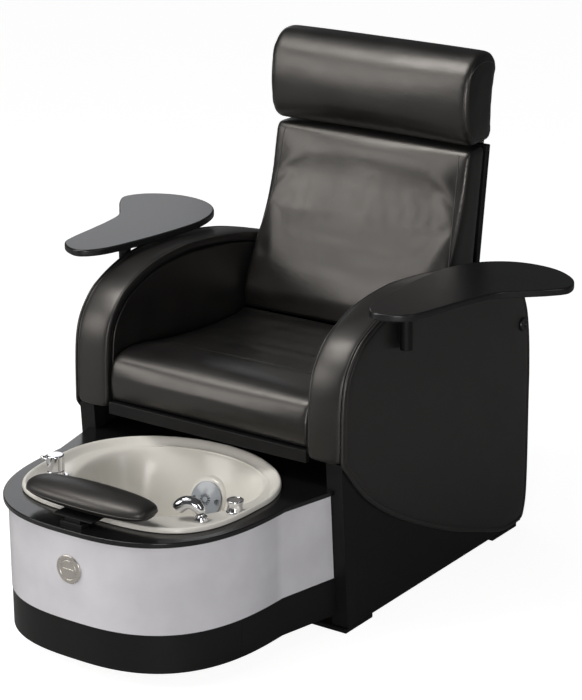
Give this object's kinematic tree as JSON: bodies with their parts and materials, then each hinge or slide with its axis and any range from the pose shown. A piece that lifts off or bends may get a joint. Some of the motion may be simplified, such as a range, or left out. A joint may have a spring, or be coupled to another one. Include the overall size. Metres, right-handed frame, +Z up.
{
  "type": "pedicure spa chair",
  "caption": "Padded salon chair on a base with a plumbed foot bath in front, swivelling arm trays, sliding seat, reclining back and an adjustable footrest.",
  "frame": {"origin": "on the floor in the plane of symmetry, below the front of the arms", "axes": "+Z up, -Y the way the sitter faces, +X to the sitter's left"},
  "size_m": [1.4614, 1.4685, 1.345],
  "materials": {
    "black_leather": "semi-gloss",
    "black_panel": "satin",
    "black_laminate": "satin",
    "black_gloss": "gloss",
    "white_gloss": "gloss",
    "acrylic": "gloss",
    "chrome": "polished",
    "nickel": "brushed",
    "steel": "satin",
    "grey_plastic": "satin",
    "board": "raw"
  },
  "bodies": {
    "chair": {"actuator_tube": "black_panel", "arm_box_left": "black_leather", "arm_box_right": "black_leather", "arm_pad_left": "black_leather", "arm_pad_right": "black_leather", "badge": "nickel", "bath_stand": "steel", "bolt_cap_left": "black_laminate", "bolt_cap_right": "black_laminate", "bowl": "acrylic", "drain_body": "chrome", "drain_outlet": "grey_plastic", "fascia": "white_gloss", "floor_plate": "board", "footrest_guide": "black_panel", "front_post_left": "black_panel", "front_post_right": "black_panel", "front_skid": "black_panel", "jet_cover": "grey_plastic", "jet_motor": "grey_plastic", "kick_front": "black_panel", "kick_left": "black_panel", "kick_right": "black_panel", "knob_base": "chrome", "power_inlet": "grey_plastic", "rear_panel": "black_panel", "rear_skid": "black_panel", "recess_panel": "black_panel", "seat_rail_left": "steel", "seat_rail_right": "steel", "side_panel_left": "black_panel", "side_panel_right": "black_panel", "side_shield_left": "black_leather", "side_shield_right": "black_leather", "sprayer_socket": "chrome", "surround": "black_gloss", "tap_body": "chrome", "tray_socket_left": "black_panel", "tray_socket_right": "black_panel", "water_inlets": "steel"},
    "seat": {"seat_deck": "black_panel", "seat_cushion": "black_leather", "actuator_rod": "chrome", "recline_pin": "steel"},
    "back": {"back_shell": "black_panel", "back_cushion": "black_leather"},
    "head": {"head_pillow": "black_leather", "head_flap": "black_leather"},
    "tray_left": {"tray_top_left": "black_laminate", "tray_post_left": "black_panel"},
    "tray_right": {"tray_top_right": "black_laminate", "tray_post_right": "black_panel"},
    "tap_cap": {"tap_cap": "chrome"},
    "tap_lever": {"tap_lever": "chrome"},
    "sprayer": {"sprayer": "chrome"},
    "drain_knob": {"drain_knob": "chrome"},
    "drain_stopper": {"drain_stopper": "chrome"},
    "jet_impeller": {"jet_impeller": "grey_plastic"},
    "footrest": {"footrest_post": "black_panel", "footrest_pad": "black_leather"}
  },
  "joints": [
    {"name": "seat_slide", "type": "slide", "parent": "chair", "child": "seat", "axis": [0, -1, 0], "range_m": [0, 0.1]},
    {"name": "back_recline", "type": "hinge", "parent": "seat", "child": "back", "pos_m": [0, 0.655, 0.535], "axis": [-1, 0, 0], "range_deg": [0, 30]},
    {"name": "head_slide", "type": "slide", "parent": "back", "child": "head", "axis": [0, 0.1386, 0.9903], "range_m": [0, 0.06]},
    {"name": "tray_left_swivel", "type": "hinge", "parent": "chair", "child": "tray_left", "pos_m": [0.45, 0.255, 0.8345], "axis": [0, 0, -1], "range_deg": [-5, 180]},
    {"name": "tray_right_swivel", "type": "hinge", "parent": "chair", "child": "tray_right", "pos_m": [-0.45, 0.255, 0.8345], "axis": [0, 0, 1], "range_deg": [-5, 180]},
    {"name": "tap_turn", "type": "hinge", "parent": "chair", "child": "tap_cap", "pos_m": [-0.243, -0.298, 0.3878], "axis": [0, 0, 1], "range_deg": [-45, 45]},
    {"name": "lever_tilt", "type": "hinge", "parent": "tap_cap", "child": "tap_lever", "pos_m": [-0.2595, -0.298, 0.4288], "axis": [0, 1, 0], "range_deg": [0, 20]},
    {"name": "sprayer_lift", "type": "slide", "parent": "chair", "child": "sprayer", "axis": [0, 0, 1], "range_m": [0, 0.15]},
    {"name": "drain_turn", "type": "hinge", "parent": "chair", "child": "drain_knob", "pos_m": [0.267, -0.225, 0.3878], "axis": [0, 0, 1], "range_deg": [0, 90]},
    {"name": "stopper_lift", "type": "slide", "parent": "chair", "child": "drain_stopper", "axis": [0, 0, 1], "range_m": [0, 0.008]},
    {"name": "impeller_spin", "type": "hinge", "parent": "chair", "child": "jet_impeller", "pos_m": [0, 0.0176, 0.275], "axis": [0, -0.936, 0.3519], "continuous": true},
    {"name": "footrest_lift", "type": "slide", "parent": "chair", "child": "footrest", "axis": [0, 0, 1], "range_m": [0, 0.06]}
  ],
  "couplings": [
    {"joint": "stopper_lift", "follows": "drain_turn", "m_per_rad": 0.0050879}
  ]
}
